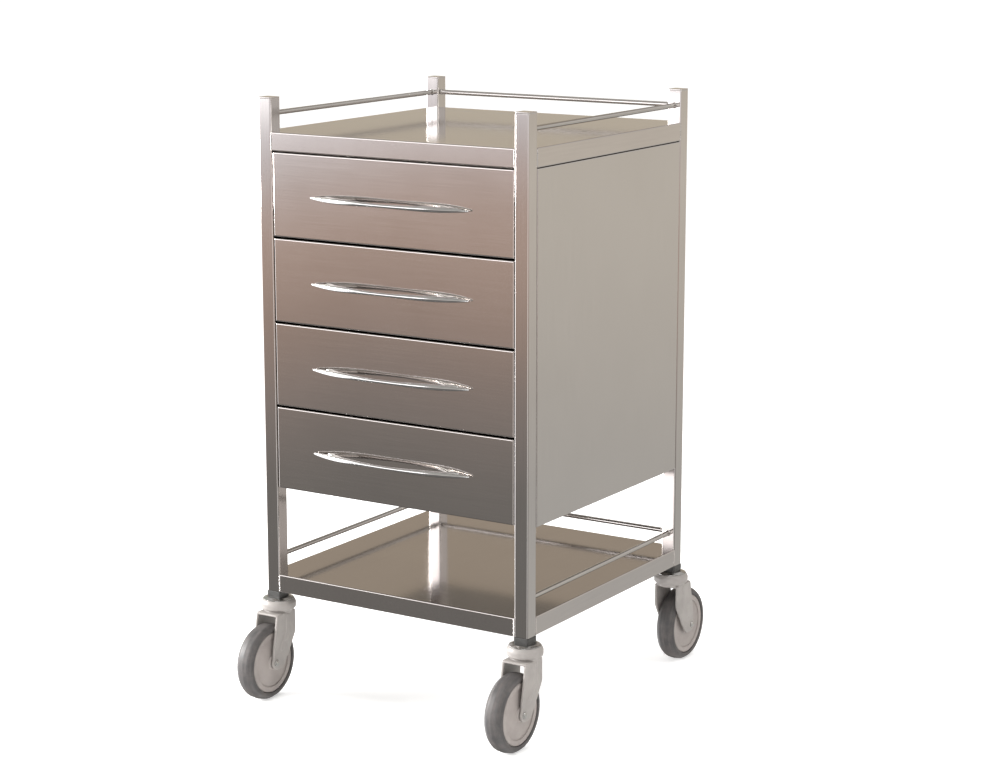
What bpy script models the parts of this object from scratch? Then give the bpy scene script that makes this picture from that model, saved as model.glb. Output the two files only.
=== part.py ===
"""Instrument cart: a square-tube frame with two folded trays, four drawers and four swivel castors.

Metres, +Z up. The origin is on the floor under the middle of the cart, the drawers open towards -Y,
and left and right are as seen from the front.
"""
import math

import bmesh
import bpy
from mathutils import Matrix, Vector

# Frame
WIDTH = 0.500
DEPTH = 0.500
POST_SIDE = 0.025
POST_WALL = 0.0015
POST_CORNER = 0.0025
POST_BOTTOM = 0.175
POST_TOP = 0.981
SHEET = 0.0012
LIP_HEIGHT = 0.030
TRAY_TOP = 0.927
SHELF_TOP = 0.205
FOLD_RADIUS = 0.0016
RAIL_RADIUS = 0.004
RAIL_RISE = 0.0276
GAP = 0.0003

# Cabinet
SEAM = 0.0009
PANEL_DEPTH = 0.0247
PANEL_BOTTOM = 0.3465
PANEL_LIP = 0.024
FLOOR_HEM = 0.003

# Drawers
DRAWER_COUNT = 4
DRAWER_PITCH = 0.1367
FRONT_GAP = 0.003
FRONT_SIDE_GAP = 0.0014
FRONT_RECESS = 0.001
FRONT_THICK = 0.018
BOX_HALF_WIDTH = 0.2115
BOX_DEPTH = 0.436
BOX_HEIGHT = 0.104
BOX_RISE = 0.008
RUNNER_RISE = 0.046
RUNNER_HEIGHT = 0.030
RUNNER_DEPTH = 0.0085
RUNNER_LENGTH = 0.440
RUNNER_SETBACK = 0.0015
STRIP_HEIGHT = 0.020

# Handles
HANDLE_HALF = 0.147
HANDLE_REACH = 0.0265
HANDLE_TIP_REACH = 0.005
HANDLE_RADIUS = 0.0042
HANDLE_MIDDLE = 0.68
HANDLE_WING = 1.06
HANDLE_TIP = 0.36
HANDLE_WING_AT = 0.6
HANDLE_FOOT_RADIUS = 0.0028
HANDLE_FOOT_OUT = 0.116
HANDLE_FOOT_IN = 0.070
HANDLE_STEPS = 18

# Castors
COLLAR_SIDE = 0.0265
COLLAR_HEIGHT = 0.011
STEM_LENGTH = 0.045
PIN_RADIUS = 0.006
PIN_LENGTH = 0.013
WHEEL_RADIUS = 0.0625
WHEEL_HALF_WIDTH = 0.016
HUB_RADIUS = 0.050
TYRE_BAND = 0.0015
TREAD_STEPS = 6
TRAIL = 0.037
LEG_INNER = 0.0178
LEG_OUTER = 0.0222
LEG_FOOT_RADIUS = 0.012
CROWN_BOTTOM = 0.138
CROWN_TOP = 0.1415
CROWN_FRONT = 0.0165
CROWN_REAR = -0.033
AXLE_RADIUS = 0.004
AXLE_CAP_RADIUS = 0.0055
AXLE_CAP_HEIGHT = 0.0025
AXLE_DOME_RADIUS = 0.0033
AXLE_FLANGE = 0.0010
WHEEL_SIDES = 28
HEAD_SIDES = 24
SMALL_SIDES = 12

# The fork leg from the side, as (distance behind the swivel axis, height) down its front and up its rear edge
LEG_FRONT_EDGE = ((-0.0165, CROWN_TOP), (-0.0165, 0.107), (-0.0130, 0.098), (0.0030, 0.072), (0.0180, 0.0525))
LEG_REAR_EDGE = ((0.0458, 0.072), (0.0425, 0.084), (0.0370, 0.112), (0.0315, CROWN_TOP))
# The swivel head's outside as (radius, height), from its top down to its neck
HEAD_BORE_FLOOR = 0.148
HEAD_OUTSIDE = ((0.0262, 0.1608), (0.0290, 0.1555), (0.0286, 0.1465), (0.0235, 0.1435))
HEAD_TOP_RADIUS = 0.0205
HEAD_NECK_RADIUS = 0.0225
# One side of the hub's section as (radius, distance from its middle plane), from its bore to its rim
HUB_SIDE = ((0.0100, 0.0168), (0.0120, 0.0142), (0.0405, 0.0128), (0.0415, 0.0144), (HUB_RADIUS, 0.0142))
HUB_BOSS_HALF = 0.0168

CORNERS = {"front_left": (-1, -1), "front_right": (1, -1), "rear_left": (-1, 1), "rear_right": (1, 1)}
POST_CENTRE = WIDTH / 2 - POST_SIDE / 2
POST_INNER = WIDTH / 2 - POST_SIDE
BETWEEN = POST_INNER - GAP
FRONT_FACE = -DEPTH / 2 + FRONT_RECESS
FRONT_TOP = TRAY_TOP - LIP_HEIGHT - FRONT_GAP / 2
FRONT_HEIGHT = DRAWER_PITCH - FRONT_GAP
BOX_FRONT = FRONT_FACE + FRONT_THICK + GAP
HEAD_TOP = POST_BOTTOM - COLLAR_HEIGHT - 2 * GAP


def clear_scene():
    for old in list(bpy.data.objects):
        bpy.data.objects.remove(old, do_unlink=True)


def collection(name):
    made = bpy.data.collections.new(name)
    bpy.context.scene.collection.children.link(made)
    return made


def finish(name, colour, roughness, metallic):
    """A Principled material for one sub-part."""
    made = bpy.data.materials.new(name)
    made.use_nodes = True
    shader = made.node_tree.nodes["Principled BSDF"]
    shader.inputs["Base Color"].default_value = (*colour, 1.0)
    shader.inputs["Roughness"].default_value = roughness
    shader.inputs["Metallic"].default_value = metallic
    return made


FINISHES = {
    "tube": ((0.62, 0.60, 0.57), 0.28, 1.0),
    "sheet": ((0.60, 0.57, 0.52), 0.24, 1.0),
    "panel": ((0.58, 0.56, 0.53), 0.34, 1.0),
    "front": ((0.60, 0.56, 0.53), 0.26, 1.0),
    "chrome": ((0.85, 0.85, 0.86), 0.08, 1.0),
    "zinc": ((0.55, 0.55, 0.54), 0.40, 1.0),
    "dark_plastic": ((0.05, 0.05, 0.055), 0.50, 0.0),
    "light_plastic": ((0.68, 0.68, 0.70), 0.40, 0.0),
    "rubber": ((0.20, 0.20, 0.21), 0.65, 0.0),
}


def add(name, mesh, look, group, location=(0, 0, 0), parent=None):
    """Links a mesh as a named object with a material of its own."""
    made = bpy.data.objects.new(name, mesh)
    group.objects.link(made)
    made.location = location
    made.parent = parent
    if look:
        mesh.materials.append(finish(name, *FINISHES[look]))
    return made


def cutter(name, mesh, location=(0, 0, 0), parent=None):
    """A shape that only serves Booleans."""
    made = add(name, mesh, None, CUTTERS, location, parent)
    made.hide_render = True
    made.display_type = "WIRE"
    return made


def combine(target, other, operation):
    step = target.modifiers.new(operation.lower(), "BOOLEAN")
    step.operation = operation
    step.solver = "EXACT"
    step.object = other


def subtract(target, *others):
    for other in others:
        combine(target, other, "DIFFERENCE")


def unite(target, *others):
    for other in others:
        combine(target, other, "UNION")


def bevel(target, width, segments=2, angle=40):
    step = target.modifiers.new("rounding", "BEVEL")
    step.width = width
    step.segments = segments
    step.limit_method = "ANGLE"
    step.angle_limit = math.radians(angle)


def mesh_from(builder, name):
    mesh = bpy.data.meshes.new(name)
    builder.normal_update()
    builder.to_mesh(mesh)
    builder.free()
    return mesh


def block(name, low, high):
    """A box between two corners."""
    low = Vector(low)
    high = Vector(high)
    builder = bmesh.new()
    bmesh.ops.create_cube(builder, size=1.0)
    bmesh.ops.scale(builder, vec=high - low, verts=builder.verts)
    bmesh.ops.translate(builder, vec=(low + high) / 2, verts=builder.verts)
    return mesh_from(builder, name)


def centred_block(name, half_x, half_y, low_z, high_z):
    return block(name, (-half_x, -half_y, low_z), (half_x, half_y, high_z))


def cylinder(name, radius, start, end, sides=SMALL_SIDES):
    """A closed cylinder from start to end."""
    start = Vector(start)
    end = Vector(end)
    span = end - start
    builder = bmesh.new()
    bmesh.ops.create_cone(builder, cap_ends=True, segments=sides, radius1=radius, radius2=radius,
                          depth=span.length)
    turn = span.to_track_quat("Z", "Y").to_matrix().to_4x4()
    bmesh.ops.transform(builder, matrix=Matrix.Translation((start + end) / 2) @ turn, verts=builder.verts)
    mesh = mesh_from(builder, name)
    mesh.shade_smooth()
    mesh.set_sharp_from_angle(angle=math.radians(40))
    return mesh


def profile_mesh(name, points, closed):
    """A line of (radius, height) points in the XZ plane for a Screw modifier."""
    mesh = bpy.data.meshes.new(name)
    edges = [(i, i + 1) for i in range(len(points) - 1)]
    if closed:
        edges.append((len(points) - 1, 0))
    mesh.from_pydata([(radius, 0.0, height) for radius, height in points], edges, [])
    return mesh


def turn_profile(target, sides):
    """Turns the target's profile about its local Z axis."""
    step = target.modifiers.new("turned", "SCREW")
    step.steps = sides
    step.render_steps = sides
    step.use_merge_vertices = True
    step.merge_threshold = 0.00001
    step.use_smooth_shade = True


def baked(source, name):
    """The evaluated mesh of an object, welded, with the source object removed."""
    graph = bpy.context.evaluated_depsgraph_get()
    mesh = bpy.data.meshes.new_from_object(source.evaluated_get(graph))
    mesh.name = name
    mesh.transform(source.matrix_world)
    builder = bmesh.new()
    builder.from_mesh(mesh)
    bmesh.ops.remove_doubles(builder, verts=builder.verts, dist=0.000001)
    bmesh.ops.recalc_face_normals(builder, faces=builder.faces)
    builder.to_mesh(mesh)
    builder.free()
    bpy.data.objects.remove(source, do_unlink=True)
    return mesh


def tube_mesh(name, points, radii, depth, sides_level=2):
    """A closed rod along points, thicker or thinner by radii."""
    curve = bpy.data.curves.new(name, "CURVE")
    curve.dimensions = "3D"
    curve.bevel_depth = depth
    curve.bevel_resolution = sides_level
    curve.use_fill_caps = True
    spline = curve.splines.new("POLY")
    spline.points.add(len(points) - 1)
    for point, place, radius in zip(spline.points, points, radii):
        point.co = (*place, 1.0)
        point.radius = radius
    rod = bpy.data.objects.new(name, curve)
    PARTS.objects.link(rod)
    bpy.context.view_layer.update()
    return baked(rod, name)


def flat_outline_mesh(name, points, thickness):
    """A plate with a flat outline in XY, as thick as stated, centred on z = 0."""
    curve = bpy.data.curves.new(name, "CURVE")
    curve.dimensions = "2D"
    curve.fill_mode = "BOTH"
    curve.extrude = thickness / 2
    spline = curve.splines.new("POLY")
    spline.points.add(len(points) - 1)
    spline.use_cyclic_u = True
    for point, place in zip(spline.points, points):
        point.co = (*place, 0.0, 1.0)
    plate = bpy.data.objects.new(name, curve)
    PARTS.objects.link(plate)
    bpy.context.view_layer.update()
    return baked(plate, name)


def empty(name, location, parent=None, turn_z=0.0):
    made = bpy.data.objects.new(name, None)
    PARTS.objects.link(made)
    made.location = location
    made.rotation_euler = (0.0, 0.0, turn_z)
    made.parent = parent
    return made


def make_post(corner, side_x, side_y):
    """A square tube, closed at the top and open below for the castor's stem."""
    place = (side_x * POST_CENTRE, side_y * POST_CENTRE, 0.0)
    half = POST_SIDE / 2
    post = add(f"post_{corner}", centred_block("post", half, half, POST_BOTTOM, POST_TOP), "tube", PARTS, place)
    bevel(post, POST_CORNER, segments=3)
    bore = half - POST_WALL
    subtract(post, cutter(f"bore_{corner}", centred_block("bore", bore, bore, POST_BOTTOM - SHEET,
                                                          POST_TOP - POST_WALL), place))


def corner_notches(name, low, high):
    """Four cutters that let the posts through a tray."""
    notches = []
    for corner, (side_x, side_y) in CORNERS.items():
        half = POST_SIDE / 2 + GAP
        over = half + POST_SIDE
        near = (side_x * (POST_CENTRE - half), side_y * (POST_CENTRE - half))
        far = (side_x * (POST_CENTRE + over), side_y * (POST_CENTRE + over))
        lowest = (min(near[0], far[0]), min(near[1], far[1]), low)
        highest = (max(near[0], far[0]), max(near[1], far[1]), high)
        notches.append(cutter(f"{name}_notch_{corner}", block("notch", lowest, highest)))
    return notches


def make_tray(name, top):
    """A sheet folded down on all four sides, with its corners cut out round the posts."""
    bottom = top - LIP_HEIGHT
    tray = add(name, centred_block(name, WIDTH / 2, DEPTH / 2, bottom, top), "sheet", PARTS)
    bevel(tray, FOLD_RADIUS, segments=2)
    inner_x = WIDTH / 2 - SHEET
    inner_y = DEPTH / 2 - SHEET
    pocket = cutter(f"{name}_pocket", centred_block("pocket", inner_x, inner_y, bottom - LIP_HEIGHT, top - SHEET))
    subtract(tray, pocket, *corner_notches(name, bottom - SHEET, top + SHEET))


def make_rails(prefix, tray_top):
    """Round rods between the posts on the left, back and right."""
    height = tray_top + RAIL_RISE
    runs = {
        "left": ((-POST_CENTRE, -BETWEEN, height), (-POST_CENTRE, BETWEEN, height)),
        "right": ((POST_CENTRE, -BETWEEN, height), (POST_CENTRE, BETWEEN, height)),
        "back": ((-BETWEEN, POST_CENTRE, height), (BETWEEN, POST_CENTRE, height)),
    }
    for side, (start, end) in runs.items():
        name = f"{prefix}_rail_{side}"
        add(name, cylinder(name, RAIL_RADIUS, start, end), "tube", PARTS)


def make_cassette(name, turn_z):
    """A panel folded into a shallow box, open inwards, with lips that carry the runners."""
    half = BETWEEN - SEAM
    low = PANEL_BOTTOM
    high = TRAY_TOP - LIP_HEIGHT - SEAM
    outer = WIDTH / 2
    inner = outer - PANEL_DEPTH
    panel = add(name, block(name, (inner, -half, low), (outer, half, high)), "panel", PARTS)
    panel.rotation_euler = (0.0, 0.0, turn_z)
    pocket = cutter(f"{name}_pocket", block("pocket", (inner + SHEET, -half + SHEET, low + SHEET),
                                            (outer - SHEET, half - SHEET, high - SHEET)), parent=panel)
    window = cutter(f"{name}_window", block("window", (inner - SHEET, -half + PANEL_LIP, low + PANEL_LIP),
                                            (outer - 2 * SHEET, half - PANEL_LIP, high - PANEL_LIP)), parent=panel)
    subtract(panel, pocket, window)


def make_floor():
    """The closing sheet under the lowest drawer, with a small hem at its front."""
    low = (-BETWEEN, FRONT_FACE + FRONT_THICK, PANEL_BOTTOM)
    high = (BETWEEN, POST_INNER - GAP, PANEL_BOTTOM + SHEET + FLOOR_HEM)
    floor = add("cabinet_floor", block("cabinet_floor", low, high), "panel", PARTS)
    hollow_low = (-WIDTH, low[1] + SHEET, PANEL_BOTTOM + SHEET)
    hollow = cutter("floor_hollow", block("hollow", hollow_low, (WIDTH, DEPTH, PANEL_BOTTOM + LIP_HEIGHT)))
    subtract(floor, hollow)


def make_runner(name, side, low_z):
    """A fixed channel that opens towards the drawer."""
    outer = POST_INNER - GAP
    inner = outer - RUNNER_DEPTH
    start = BOX_FRONT + RUNNER_SETBACK
    near = (min(side * outer, side * inner), start, low_z)
    far = (max(side * outer, side * inner), start + RUNNER_LENGTH, low_z + RUNNER_HEIGHT)
    runner = add(name, block(name, near, far), "zinc", PARTS)
    slot_outer = side * (outer - SHEET)
    slot_inner = side * (inner - SHEET)
    slot_near = (min(slot_outer, slot_inner), start - SHEET, low_z + SHEET)
    slot_far = (max(slot_outer, slot_inner), start + RUNNER_LENGTH + SHEET, low_z + RUNNER_HEIGHT - SHEET)
    subtract(runner, cutter(f"{name}_slot", block("slot", slot_near, slot_far)))


def make_front(name, low_z, slide):
    """A pan folded from sheet, its open side covered by the drawer box."""
    half = POST_INNER - FRONT_SIDE_GAP
    high_z = low_z + FRONT_HEIGHT
    front = add(name, block(name, (-half, FRONT_FACE, low_z), (half, FRONT_FACE + FRONT_THICK, high_z)),
                "front", PARTS, parent=slide)
    bevel(front, FOLD_RADIUS / 2, segments=2)
    pocket = cutter(f"{name}_pocket", block("pocket", (-half + SHEET, FRONT_FACE + SHEET, low_z + SHEET),
                                            (half - SHEET, FRONT_FACE + 2 * FRONT_THICK, high_z - SHEET)),
                    parent=slide)
    subtract(front, pocket)


def make_drawer_box(name, low_z, slide):
    """An open box with a runner strip along each side."""
    floor_z = low_z + BOX_RISE
    back = BOX_FRONT + BOX_DEPTH
    box = add(name, block(name, (-BOX_HALF_WIDTH, BOX_FRONT, floor_z), (BOX_HALF_WIDTH, back, floor_z + BOX_HEIGHT)),
              "panel", PARTS, parent=slide)
    inner = BOX_HALF_WIDTH - SHEET
    hollow = cutter(f"{name}_hollow", block("hollow", (-inner, BOX_FRONT + SHEET, floor_z + SHEET),
                                            (inner, back - SHEET, floor_z + 2 * BOX_HEIGHT)), parent=slide)
    subtract(box, hollow)
    strip_low = low_z + RUNNER_RISE + (RUNNER_HEIGHT - STRIP_HEIGHT) / 2
    reach = POST_INNER - GAP - 2 * SHEET
    for side, label in ((-1, "left"), (1, "right")):
        root = side * (BOX_HALF_WIDTH - SHEET / 2)
        tip = side * reach
        strip = cutter(f"{name}_strip_{label}", block("strip", (min(root, tip), BOX_FRONT + 2 * SHEET, strip_low),
                                                      (max(root, tip), back - 2 * SHEET, strip_low + STRIP_HEIGHT)),
                       parent=slide)
        unite(box, strip)


def bow_point(x):
    """How far the handle's bar stands off the drawer front at x, and its relative thickness."""
    along = abs(x) / HANDLE_HALF
    reach = HANDLE_TIP_REACH + (HANDLE_REACH - HANDLE_TIP_REACH) * (1.0 - along ** 2)
    if along < HANDLE_WING_AT:
        swell = math.sin(math.pi / 2 * along / HANDLE_WING_AT) ** 2
        return reach, HANDLE_MIDDLE + (HANDLE_WING - HANDLE_MIDDLE) * swell
    fade = ((along - HANDLE_WING_AT) / (1.0 - HANDLE_WING_AT)) ** 2
    return reach, HANDLE_WING + (HANDLE_TIP - HANDLE_WING) * fade


def make_handle(name, height, slide):
    """A bow: a bar with pointed tips that stands off the front on two slanted feet."""
    spots = [HANDLE_HALF * (2 * i / HANDLE_STEPS - 1) for i in range(HANDLE_STEPS + 1)]
    places = [(x, FRONT_FACE - bow_point(x)[0], height) for x in spots]
    bow = add(name, tube_mesh(name, places, [bow_point(x)[1] for x in spots], HANDLE_RADIUS), "chrome", PARTS,
              parent=slide)
    for side, label in ((-1, "left"), (1, "right")):
        on_bar = (side * HANDLE_FOOT_IN, FRONT_FACE - bow_point(HANDLE_FOOT_IN)[0], height)
        inside = (side * HANDLE_FOOT_OUT, FRONT_FACE + HANDLE_RADIUS, height)
        foot = cutter(f"{name}_foot_{label}", cylinder("foot", HANDLE_FOOT_RADIUS, on_bar, inside), parent=slide)
        unite(bow, foot)
    wall_low = (-WIDTH / 2, FRONT_FACE - GAP, height - RUNNER_HEIGHT)
    wall_high = (WIDTH / 2, FRONT_FACE + FRONT_THICK, height + RUNNER_HEIGHT)
    subtract(bow, cutter(f"{name}_wall", block("wall", wall_low, wall_high), parent=slide))


def make_drawer(number):
    low_z = FRONT_TOP - FRONT_HEIGHT - (number - 1) * DRAWER_PITCH
    slide = empty(f"drawer_{number}_slide", (0.0, 0.0, 0.0))
    make_front(f"drawer_{number}_front", low_z, slide)
    make_drawer_box(f"drawer_{number}_box", low_z, slide)
    make_handle(f"drawer_{number}_handle", low_z + FRONT_HEIGHT / 2, slide)
    for side, label in ((-1, "left"), (1, "right")):
        make_runner(f"runner_{number}_{label}", side, low_z + RUNNER_RISE)


def make_stem(corner, swivel):
    """Square collar under the post, a stem inside its bore and the king pin below."""
    half = COLLAR_SIDE / 2
    bottom = POST_BOTTOM - COLLAR_HEIGHT - GAP
    stem = add(f"stem_{corner}", centred_block("stem", half, half, bottom, POST_BOTTOM - GAP), "dark_plastic",
               PARTS, parent=swivel)
    bevel(stem, POST_CORNER, segments=2)
    bore = POST_SIDE / 2 - POST_WALL - GAP
    shank = cutter(f"shank_{corner}", centred_block("shank", bore, bore, POST_BOTTOM - COLLAR_HEIGHT / 2,
                                                    POST_BOTTOM + STEM_LENGTH), parent=swivel)
    pin = cutter(f"pin_{corner}", cylinder("pin", PIN_RADIUS, (0, 0, bottom - PIN_LENGTH),
                                           (0, 0, POST_BOTTOM - COLLAR_HEIGHT / 2)), parent=swivel)
    unite(stem, shank, pin)


def leg_outline():
    """The fork leg seen from the side: distance behind the swivel axis, height."""
    arc = [math.radians(250 + 20 * i) for i in range(6)]
    round_end = [(TRAIL + LEG_FOOT_RADIUS * math.cos(a), WHEEL_RADIUS + LEG_FOOT_RADIUS * math.sin(a)) for a in arc]
    return [*LEG_FRONT_EDGE, *round_end, *LEG_REAR_EDGE]


def head_profile():
    """Swivel head: from the bore's bottom up its wall, over the top and down the outside."""
    bore = PIN_RADIUS + 2 * GAP
    neck_bottom = (CROWN_BOTTOM + CROWN_TOP) / 2
    inside = [(0.0, HEAD_BORE_FLOOR), (bore, HEAD_BORE_FLOOR), (bore, HEAD_TOP), (HEAD_TOP_RADIUS, HEAD_TOP)]
    return [*inside, *HEAD_OUTSIDE, (HEAD_NECK_RADIUS, neck_bottom), (0.0, neck_bottom)]


def make_fork(corner, swivel):
    """Swivel head, crown plate and two legs in one moulding, bored for the axle."""
    fork = add(f"fork_{corner}", profile_mesh("fork", head_profile(), closed=False), "light_plastic", PARTS,
               parent=swivel)
    turn_profile(fork, HEAD_SIDES)
    crown_low = (-LEG_OUTER, CROWN_REAR, CROWN_BOTTOM)
    crown_high = (LEG_OUTER, CROWN_FRONT, CROWN_TOP)
    crown = cutter(f"crown_{corner}", block("crown", crown_low, crown_high), parent=swivel)
    legs = []
    middle = (LEG_INNER + LEG_OUTER) / 2
    for side, label in ((-1, "left"), (1, "right")):
        leg_mesh = flat_outline_mesh("leg", leg_outline(), LEG_OUTER - LEG_INNER)
        # The outline's x runs backwards along -Y and its y runs up.
        leg_mesh.transform(Matrix(((0, 0, 1, side * middle), (-1, 0, 0, 0), (0, 1, 0, 0), (0, 0, 0, 1))))
        legs.append(cutter(f"leg_{corner}_{label}", leg_mesh, parent=swivel))
    unite(fork, crown, *legs)
    bore_mesh = cylinder("axle_bore", AXLE_RADIUS + 2 * GAP, (-WHEEL_RADIUS, -TRAIL, WHEEL_RADIUS),
                         (WHEEL_RADIUS, -TRAIL, WHEEL_RADIUS))
    subtract(fork, cutter(f"axle_bore_{corner}", bore_mesh, parent=swivel))


def hub_profile():
    """Half of the hub's section, from its bore to its rim; the loop closes on the other side."""
    bore = AXLE_RADIUS + 2 * GAP
    side = [(bore, HUB_BOSS_HALF), *HUB_SIDE]
    return side + [(radius, -x) for radius, x in reversed(side)]


def tyre_profile():
    """The tyre's section: a half-round tread, flattened a little, on a band that grips the hub's rim."""
    inner = HUB_RADIUS + 2 * GAP
    shoulder = WHEEL_RADIUS - inner - TYRE_BAND
    tread = []
    for i in range(TREAD_STEPS + 1):
        angle = math.pi * (0.5 - i / TREAD_STEPS)
        tread.append((inner + TYRE_BAND + shoulder * math.cos(angle), WHEEL_HALF_WIDTH * math.sin(angle)))
    return [(inner, WHEEL_HALF_WIDTH - TYRE_BAND)] + tread + [(inner, -WHEEL_HALF_WIDTH + TYRE_BAND)]


def axle_profile():
    """A bolt through fork and hub with a round cap at each end."""
    cap = LEG_OUTER + GAP
    end = cap + AXLE_CAP_HEIGHT
    top = [(0.0, end), (AXLE_DOME_RADIUS, end - 0.0003), (AXLE_CAP_RADIUS, cap + AXLE_FLANGE),
           (AXLE_CAP_RADIUS, cap), (AXLE_RADIUS, cap)]
    return top + [(radius, -x) for radius, x in reversed(top)]


def make_wheel(corner, swivel):
    """Hub and tyre on the axle's own empty, with the axle bolt that stays in the fork."""
    spin = empty(f"wheel_{corner}_spin", (0.0, -TRAIL, WHEEL_RADIUS), parent=swivel)
    sections = (("hub", hub_profile(), True, "light_plastic", HEAD_SIDES),
                ("tyre", tyre_profile(), True, "rubber", WHEEL_SIDES),
                ("axle", axle_profile(), False, "zinc", SMALL_SIDES))
    for label, section, closed, look, sides in sections:
        piece = add(f"{label}_{corner}", profile_mesh(label, section, closed), look, PARTS, parent=spin)
        piece.rotation_euler = (0.0, math.radians(90), 0.0)
        turn_profile(piece, sides)


def make_castor(corner, side_x, side_y):
    """The front castors trail forwards and the rear ones backwards."""
    turn = 0.0 if side_y < 0 else math.pi
    swivel = empty(f"castor_{corner}_swivel", (side_x * POST_CENTRE, side_y * POST_CENTRE, 0.0), turn_z=turn)
    make_stem(corner, swivel)
    make_fork(corner, swivel)
    make_wheel(corner, swivel)


def main():
    for corner, (side_x, side_y) in CORNERS.items():
        make_post(corner, side_x, side_y)
        make_castor(corner, side_x, side_y)
    make_tray("top_tray", TRAY_TOP)
    make_tray("lower_shelf", SHELF_TOP)
    make_rails("top", TRAY_TOP)
    make_rails("lower", SHELF_TOP)
    make_cassette("side_panel_right", 0.0)
    make_cassette("rear_panel", math.pi / 2)
    make_cassette("side_panel_left", math.pi)
    make_floor()
    for number in range(1, DRAWER_COUNT + 1):
        make_drawer(number)


clear_scene()
PARTS = collection("instrument_cart")
CUTTERS = collection("cutters")
main()
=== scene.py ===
import math
import bmesh
import bpy
from mathutils import Matrix, Vector


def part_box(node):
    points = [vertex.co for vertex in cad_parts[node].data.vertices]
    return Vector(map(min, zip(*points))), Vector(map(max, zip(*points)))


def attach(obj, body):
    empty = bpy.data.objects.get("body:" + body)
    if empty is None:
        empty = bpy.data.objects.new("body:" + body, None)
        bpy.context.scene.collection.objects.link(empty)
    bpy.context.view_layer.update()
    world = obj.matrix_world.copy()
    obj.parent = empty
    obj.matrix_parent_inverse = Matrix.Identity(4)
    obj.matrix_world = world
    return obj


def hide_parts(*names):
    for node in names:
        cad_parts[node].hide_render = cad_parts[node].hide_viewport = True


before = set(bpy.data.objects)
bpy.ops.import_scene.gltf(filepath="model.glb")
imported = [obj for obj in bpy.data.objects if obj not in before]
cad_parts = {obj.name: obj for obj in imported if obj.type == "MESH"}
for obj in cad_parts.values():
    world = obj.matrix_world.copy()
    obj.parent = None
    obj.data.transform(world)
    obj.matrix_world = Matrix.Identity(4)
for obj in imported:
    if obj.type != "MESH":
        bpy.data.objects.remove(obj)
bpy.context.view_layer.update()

# Instrument cart: stainless tube frame, folded trays and panels, four drawers with chrome bow handles
# and four castors with moulded forks. Metres; drawers open towards -Y; left and right as seen from the front.

# Viewpoint
AZIMUTH = math.radians(32.12)
ELEVATION = math.radians(11.80)
DISTANCE = 3.989
AIM = Vector((0.0308, 0.0194, 0.4993))
LENS = 87.34
SENSOR = 36.0

scene = bpy.context.scene


def placed(name, data):
    """A new object in the scene."""
    made = bpy.data.objects.new(name, data)
    scene.collection.objects.link(made)
    return made


def released(builder):
    """The mesh that a builder holds; the builder goes."""
    mesh = bpy.data.meshes.new("shape")
    builder.to_mesh(mesh)
    builder.free()
    return mesh


# ---------------------------------------------------------------- camera, light and floor

def make_camera():
    back = Vector((math.sin(AZIMUTH) * math.cos(ELEVATION), -math.cos(AZIMUTH) * math.cos(ELEVATION),
                   math.sin(ELEVATION)))
    lens = bpy.data.cameras.new("camera")
    lens.lens = LENS
    lens.sensor_width = SENSOR
    lens.clip_end = 60.0
    camera = placed("camera", lens)
    camera.location = AIM + back * DISTANCE
    camera.rotation_euler = back.to_track_quat("Z", "Y").to_euler()
    scene.camera = camera


make_camera()


# ---------------------------------------------------------------- node kit

class Wire:
    """A value in a node tree; arithmetic on it adds Math nodes."""

    def __init__(self, kit, socket):
        self.kit = kit
        self.socket = socket

    def maths(self, operation, other):
        return self.kit.node("ShaderNodeMath", {"operation": operation}, {0: self, 1: other})

    def __add__(self, other):
        return self.maths("ADD", other)

    def __sub__(self, other):
        return self.maths("SUBTRACT", other)

    def __mul__(self, other):
        return self.maths("MULTIPLY", other)

    def step(self, low, high, start=0.0, end=1.0, plain=False):
        """Eases, or runs plainly, from start to end as the value goes from low to high."""
        settings = {"interpolation_type": "LINEAR" if plain else "SMOOTHSTEP"}
        return self.kit.node("ShaderNodeMapRange", settings, {0: self, 1: low, 2: high, 3: start, 4: end})


class Kit:
    """A node tree with one method that adds any node."""

    def __init__(self, tree):
        self.tree = tree
        self.place = None

    def node(self, kind, settings=None, values=None, output=0):
        made = self.tree.nodes.new(kind)
        for name, value in (settings or {}).items():
            if name == "stops":
                self.set_stops(made.color_ramp, value)
            else:
                setattr(made, name, value)
        for name, value in (values or {}).items():
            if isinstance(value, Wire):
                self.tree.links.new(value.socket, made.inputs[name])
            else:
                made.inputs[name].default_value = value
        return Wire(self, made.outputs[output])

    @staticmethod
    def set_stops(ramp, stops):
        while len(ramp.elements) < len(stops):
            ramp.elements.new(0.5)
        for element, (position, colour) in zip(ramp.elements, stops):
            element.position = position
            element.color = (*colour, 1.0)

    def ramp(self, factor, stops):
        return self.node("ShaderNodeValToRGB", {"stops": stops}, {0: factor})

    def mix(self, factor, first, second):
        """Mixes two colours."""
        return self.node("ShaderNodeMix", {"data_type": "RGBA"}, {0: factor, 6: first, 7: second}, output=2)

    def axes(self, vector):
        split = self.node("ShaderNodeSeparateXYZ", {}, {0: vector})
        return split, Wire(self, split.socket.node.outputs[1]), Wire(self, split.socket.node.outputs[2])

    def object_place(self, stretch=(1, 1, 1), turn=(0, 0, 0)):
        """The piece's own coordinates, stretched for grain that runs one way."""
        if self.place is None:
            self.place = self.node("ShaderNodeTexCoord", {}, {}, output=3)
        return self.node("ShaderNodeMapping", {}, {0: self.place, 2: turn, 3: stretch})

    def noise(self, place, scale, detail=2.0, roughness=0.5):
        values = {"Vector": place, "Scale": scale, "Detail": detail, "Roughness": roughness}
        return self.node("ShaderNodeTexNoise", {}, values)

    def bump(self, height, distance):
        return self.node("ShaderNodeBump", {}, {"Height": height, "Distance": distance, "Strength": 1.0})


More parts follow.
